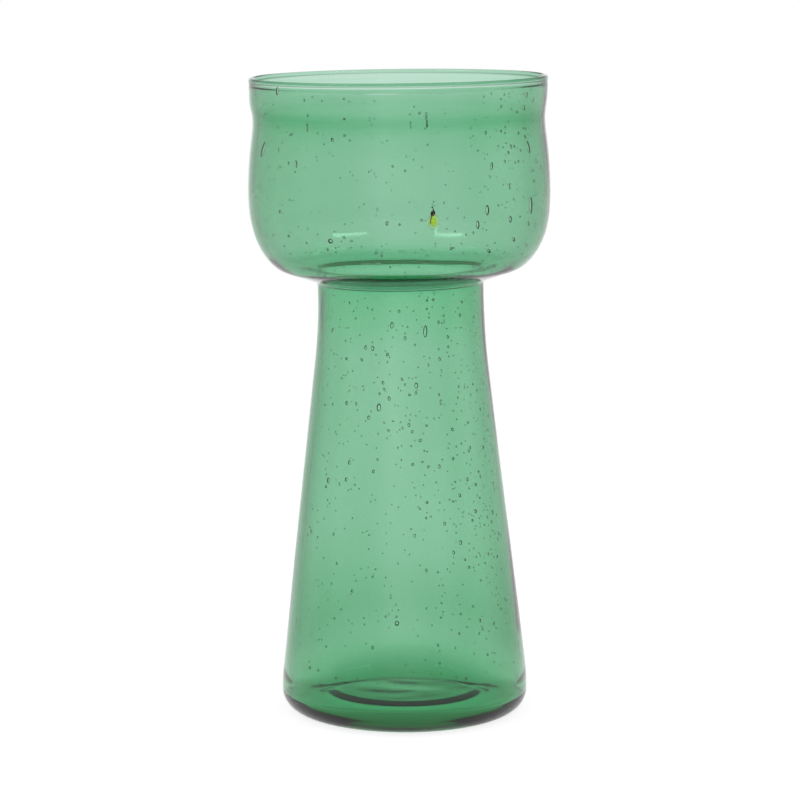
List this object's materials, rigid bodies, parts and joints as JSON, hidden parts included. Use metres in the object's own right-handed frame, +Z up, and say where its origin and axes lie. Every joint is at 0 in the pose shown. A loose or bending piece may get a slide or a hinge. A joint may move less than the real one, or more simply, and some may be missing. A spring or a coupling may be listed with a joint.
{
  "type": "hyacinth forcing vase",
  "caption": "Green seeded-glass hyacinth vase: a wide bulb cup with a rounded lip over a narrow neck and a cone-shaped water chamber that widens to a flat foot.",
  "frame": {"origin": "centre of the ring on the foot that the vase stands on", "axes": "+Z up, -Y the front as pictured, +X to the picture's right; the glass above the heel leans 0.65 degrees towards -X"},
  "size_m": [0.0941, 0.094, 0.2005],
  "materials": {
    "green_glass": "clear green soda-lime glass with trapped air seeds, fire-polished",
    "dark_stone": "unmelted dark stone, matt",
    "amber_glass": "yellow-green stained glass round the stone"
  },
  "bodies": {
    "root": {"lip": "green_glass", "collar": "green_glass", "bulb_cup": "green_glass", "cup_floor": "green_glass", "neck_ring": "green_glass", "water_chamber": "green_glass", "heel": "green_glass", "base_disc": "green_glass", "stone_inclusion": "dark_stone", "amber_stain": "amber_glass"}
  },
  "joints": []
}
